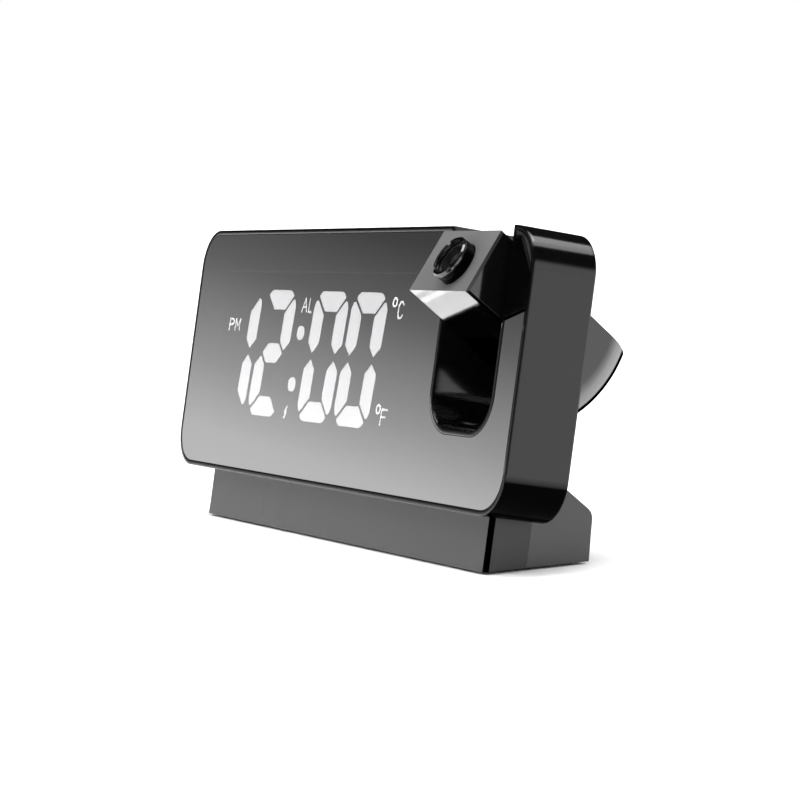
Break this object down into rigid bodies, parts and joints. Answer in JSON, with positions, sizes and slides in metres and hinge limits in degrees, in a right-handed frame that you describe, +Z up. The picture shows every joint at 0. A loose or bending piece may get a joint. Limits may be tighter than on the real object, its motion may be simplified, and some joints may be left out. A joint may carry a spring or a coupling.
{
  "type": "projection alarm clock",
  "caption": "Wide mirror-faced digital alarm clock leaning back on a wedge base, with a tilting projector arm and focus lens in an open slot at the right.",
  "frame": {"origin": "on the table, below the middle of the clock's outline as seen from above", "axes": "+X to the right as seen from the front, +Y to the back, +Z up"},
  "size_m": [0.19, 0.0453, 0.0789],
  "materials": {
    "housing": "satin black moulded ABS",
    "mirror": "dark half-mirror acrylic, polished",
    "cover": "fine textured black moulded ABS",
    "display": "matte black reflector block",
    "lit": "white diffuser lit from behind",
    "unlit": "grey diffuser, unlit",
    "board": "green solder mask on glass epoxy",
    "steel": "zinc-plated steel",
    "spring_steel": "spring steel",
    "brass": "nickel-plated brass contact",
    "button": "matte black moulded ABS",
    "sounder": "black sounder can",
    "sensor": "black epoxy bead",
    "base_dark": "satin black moulded ABS",
    "base_grey": "matte black moulded ABS",
    "rubber": "matte black rubber",
    "cell": "stainless cell can",
    "arm": "black moulded ABS",
    "arm_mirror": "polished mirror acrylic",
    "lens_plate": "satin grey plate",
    "optics": "matte black optical tube",
    "led": "phosphor-coated LED package",
    "glass": "clear moulded acrylic lens",
    "lcd": "small LCD glass"
  },
  "bodies": {
    "clock": {"front_housing": "housing", "mirror_panel": "mirror", "back_cover": "cover", "display_block": "display", "lit_segments": "lit", "dark_segments": "unlit", "display_board": "board", "main_board": "board", "dome_switches": "spring_steel", "buzzer": "sounder", "temperature_sensor": "sensor", "cover_screws": "steel", "body_screws": "steel", "base_front": "base_dark", "base_rear": "base_grey", "base_plate": "base_dark", "base_screws": "steel", "rubber_feet": "rubber", "power_jack": "sounder", "memory_cell": "cell", "cell_contacts": "brass", "friction_washers": "spring_steel"},
    "projector_arm": {"arm_shell": "arm", "arm_mirror_plate": "arm_mirror", "arm_lens_plate": "lens_plate", "arm_pivot_left": "optics", "arm_pivot_right": "optics", "pivot_clips": "spring_steel", "lens_sleeve": "optics", "projector_board": "board", "projector_led": "led", "condenser_lens": "glass", "image_lcd": "lcd"},
    "focus": {"focus_ring": "optics"},
    "lens": {"lens_cell": "optics", "projection_lens": "glass"},
    "battery_door": {"battery_door": "base_dark"},
    "button_mode": {"button_mode": "button"},
    "button_up": {"button_up": "button"},
    "button_down": {"button_down": "button"},
    "button_alarm": {"button_alarm": "button"},
    "button_snooze": {"button_snooze": "button"},
    "button_projector": {"button_projector": "button"}
  },
  "joints": [
    {"name": "arm_swing", "type": "hinge", "parent": "clock", "child": "projector_arm", "pos_m": [0.0695, -0.00394, 0.06069], "axis": [1, 0, 0], "range_deg": [-150, 30]},
    {"name": "focus_turn", "type": "hinge", "parent": "projector_arm", "child": "focus", "pos_m": [0.0726, -0.01718, 0.07043], "axis": [0, -0.8049, 0.5934], "range_deg": [-100, 100]},
    {"name": "lens_travel", "type": "slide", "parent": "projector_arm", "child": "lens", "axis": [0, -0.8049, 0.5934], "range_m": [-0.00055, 0.00055]},
    {"name": "battery_door_turn", "type": "hinge", "parent": "clock", "child": "battery_door", "pos_m": [0.03, -0.00441, 0.0007], "axis": [0, 0, 1], "range_deg": [0, 50]},
    {"name": "mode_press", "type": "slide", "parent": "clock", "child": "button_mode", "axis": [0, -0.981, 0.1942], "range_m": [0, 0.0007], "stiffness_N_per_m": 400, "springref_m": -0.0008},
    {"name": "up_press", "type": "slide", "parent": "clock", "child": "button_up", "axis": [0, -0.981, 0.1942], "range_m": [0, 0.0007], "stiffness_N_per_m": 400, "springref_m": -0.0008},
    {"name": "down_press", "type": "slide", "parent": "clock", "child": "button_down", "axis": [0, -0.981, 0.1942], "range_m": [0, 0.0007], "stiffness_N_per_m": 400, "springref_m": -0.0008},
    {"name": "alarm_press", "type": "slide", "parent": "clock", "child": "button_alarm", "axis": [0, -0.981, 0.1942], "range_m": [0, 0.0007], "stiffness_N_per_m": 400, "springref_m": -0.0008},
    {"name": "snooze_press", "type": "slide", "parent": "clock", "child": "button_snooze", "axis": [0, -0.981, 0.1942], "range_m": [0, 0.0007], "stiffness_N_per_m": 400, "springref_m": -0.0008},
    {"name": "projector_press", "type": "slide", "parent": "clock", "child": "button_projector", "axis": [0, -0.981, 0.1942], "range_m": [0, 0.0007], "stiffness_N_per_m": 400, "springref_m": -0.0008}
  ],
  "couplings": [
    {"joint": "focus_turn", "follows": "lens_travel", "rad_per_m": 3141.6}
  ]
}
